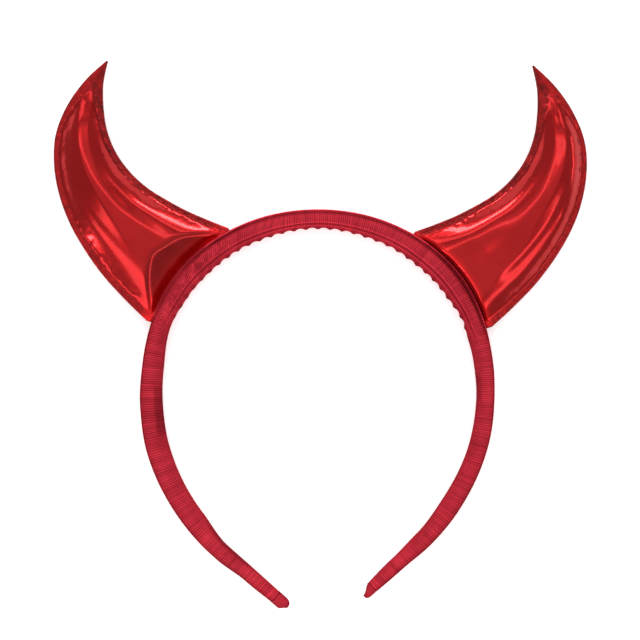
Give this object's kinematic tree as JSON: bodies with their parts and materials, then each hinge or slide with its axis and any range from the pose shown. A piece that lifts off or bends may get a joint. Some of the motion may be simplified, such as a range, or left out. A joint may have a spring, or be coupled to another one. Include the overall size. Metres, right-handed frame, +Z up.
{
  "type": "devil horns headband",
  "caption": "Costume headband with two puffed red vinyl crescent horns sewn into a ribbon-covered hoop.",
  "frame": {"origin": "on the surface it lies on, below the middle of the band at the crown of the arch", "axes": "+Z up off the surface, out of the side that the picture shows; +Y along the arch, from the leg tips towards the crown and the horn tips; +X to the picture's right"},
  "size_m": [0.2107, 0.217, 0.0153],
  "materials": {
    "ribbon": "satin",
    "vinyl": "gloss",
    "wadding": "matte"
  },
  "bodies": {
    "root": {"band_sleeve": "ribbon", "end_fold_left": "ribbon", "end_fold_right": "ribbon", "horn_left_front": "vinyl", "horn_left_back": "vinyl", "horn_left_stuffing": "wadding", "horn_right_front": "vinyl", "horn_right_back": "vinyl", "horn_right_stuffing": "wadding"}
  },
  "joints": []
}
